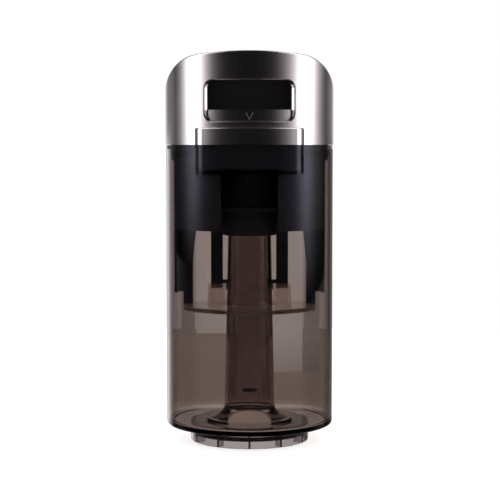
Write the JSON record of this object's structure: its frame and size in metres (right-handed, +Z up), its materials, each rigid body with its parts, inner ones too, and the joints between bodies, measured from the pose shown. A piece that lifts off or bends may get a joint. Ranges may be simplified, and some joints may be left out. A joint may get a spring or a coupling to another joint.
{
  "type": "dirty water tank",
  "caption": "Smoked clear dirty water tank of a wet floor washer: round front, flat back, stand pipe, lift-out lid with separator, float, filter and sprung release button.",
  "frame": {"origin": "on the stand pipe's axis, at the underside of the base collar", "axes": "+Z up the stand pipe, +Y towards the flat back, +X to the right seen from the front"},
  "size_m": [0.1126, 0.1056, 0.259],
  "materials": {
    "smoked_plastic": "smoked clear, polished",
    "clear_plastic": "clear, polished",
    "smoked_baffle": "smoked translucent",
    "satin_silver": "metallised satin",
    "black_plastic": "black satin",
    "rubber": "matt rubber",
    "spring_steel": "bright steel",
    "float_plastic": "white moulded",
    "filter_paper": "pleated paper",
    "foam": "open cell foam"
  },
  "bodies": {
    "tank": {"tank_body": "smoked_plastic", "stand_pipe": "smoked_plastic", "base_collar": "clear_plastic", "inlet_seal": "rubber"},
    "lid": {"lid_cap": "satin_silver", "lid_deck": "black_plastic", "finger_well": "black_plastic", "filter_box": "black_plastic", "plug_housing": "black_plastic", "lid_seal": "rubber", "lid_screws": "spring_steel", "leg_frame": "black_plastic", "baffle_plate": "smoked_baffle", "float_cage": "black_plastic", "latch_spring": "spring_steel"},
    "latch": {"release_button": "satin_silver", "latch_slide": "black_plastic"},
    "float": {"float": "float_plastic", "float_pad": "rubber"},
    "filter": {"filter_frame": "black_plastic", "filter_media": "filter_paper", "prefilter_foam": "foam", "filter_seal": "rubber"}
  },
  "joints": [
    {"name": "lid_lift", "type": "slide", "parent": "tank", "child": "lid", "axis": [0, 0, 1], "range_m": [0, 0.115]},
    {"name": "button_press", "type": "slide", "parent": "lid", "child": "latch", "axis": [0, 0, -1], "range_m": [0, 0.004], "stiffness_N_per_m": 300, "springref_m": -0.004, "deforming": ["latch_spring"]},
    {"name": "float_rise", "type": "slide", "parent": "lid", "child": "float", "axis": [0, 0, 1], "range_m": [0, 0.009]},
    {"name": "filter_pull", "type": "slide", "parent": "lid", "child": "filter", "axis": [0, 1, 0], "range_m": [0, 0.02]}
  ]
}
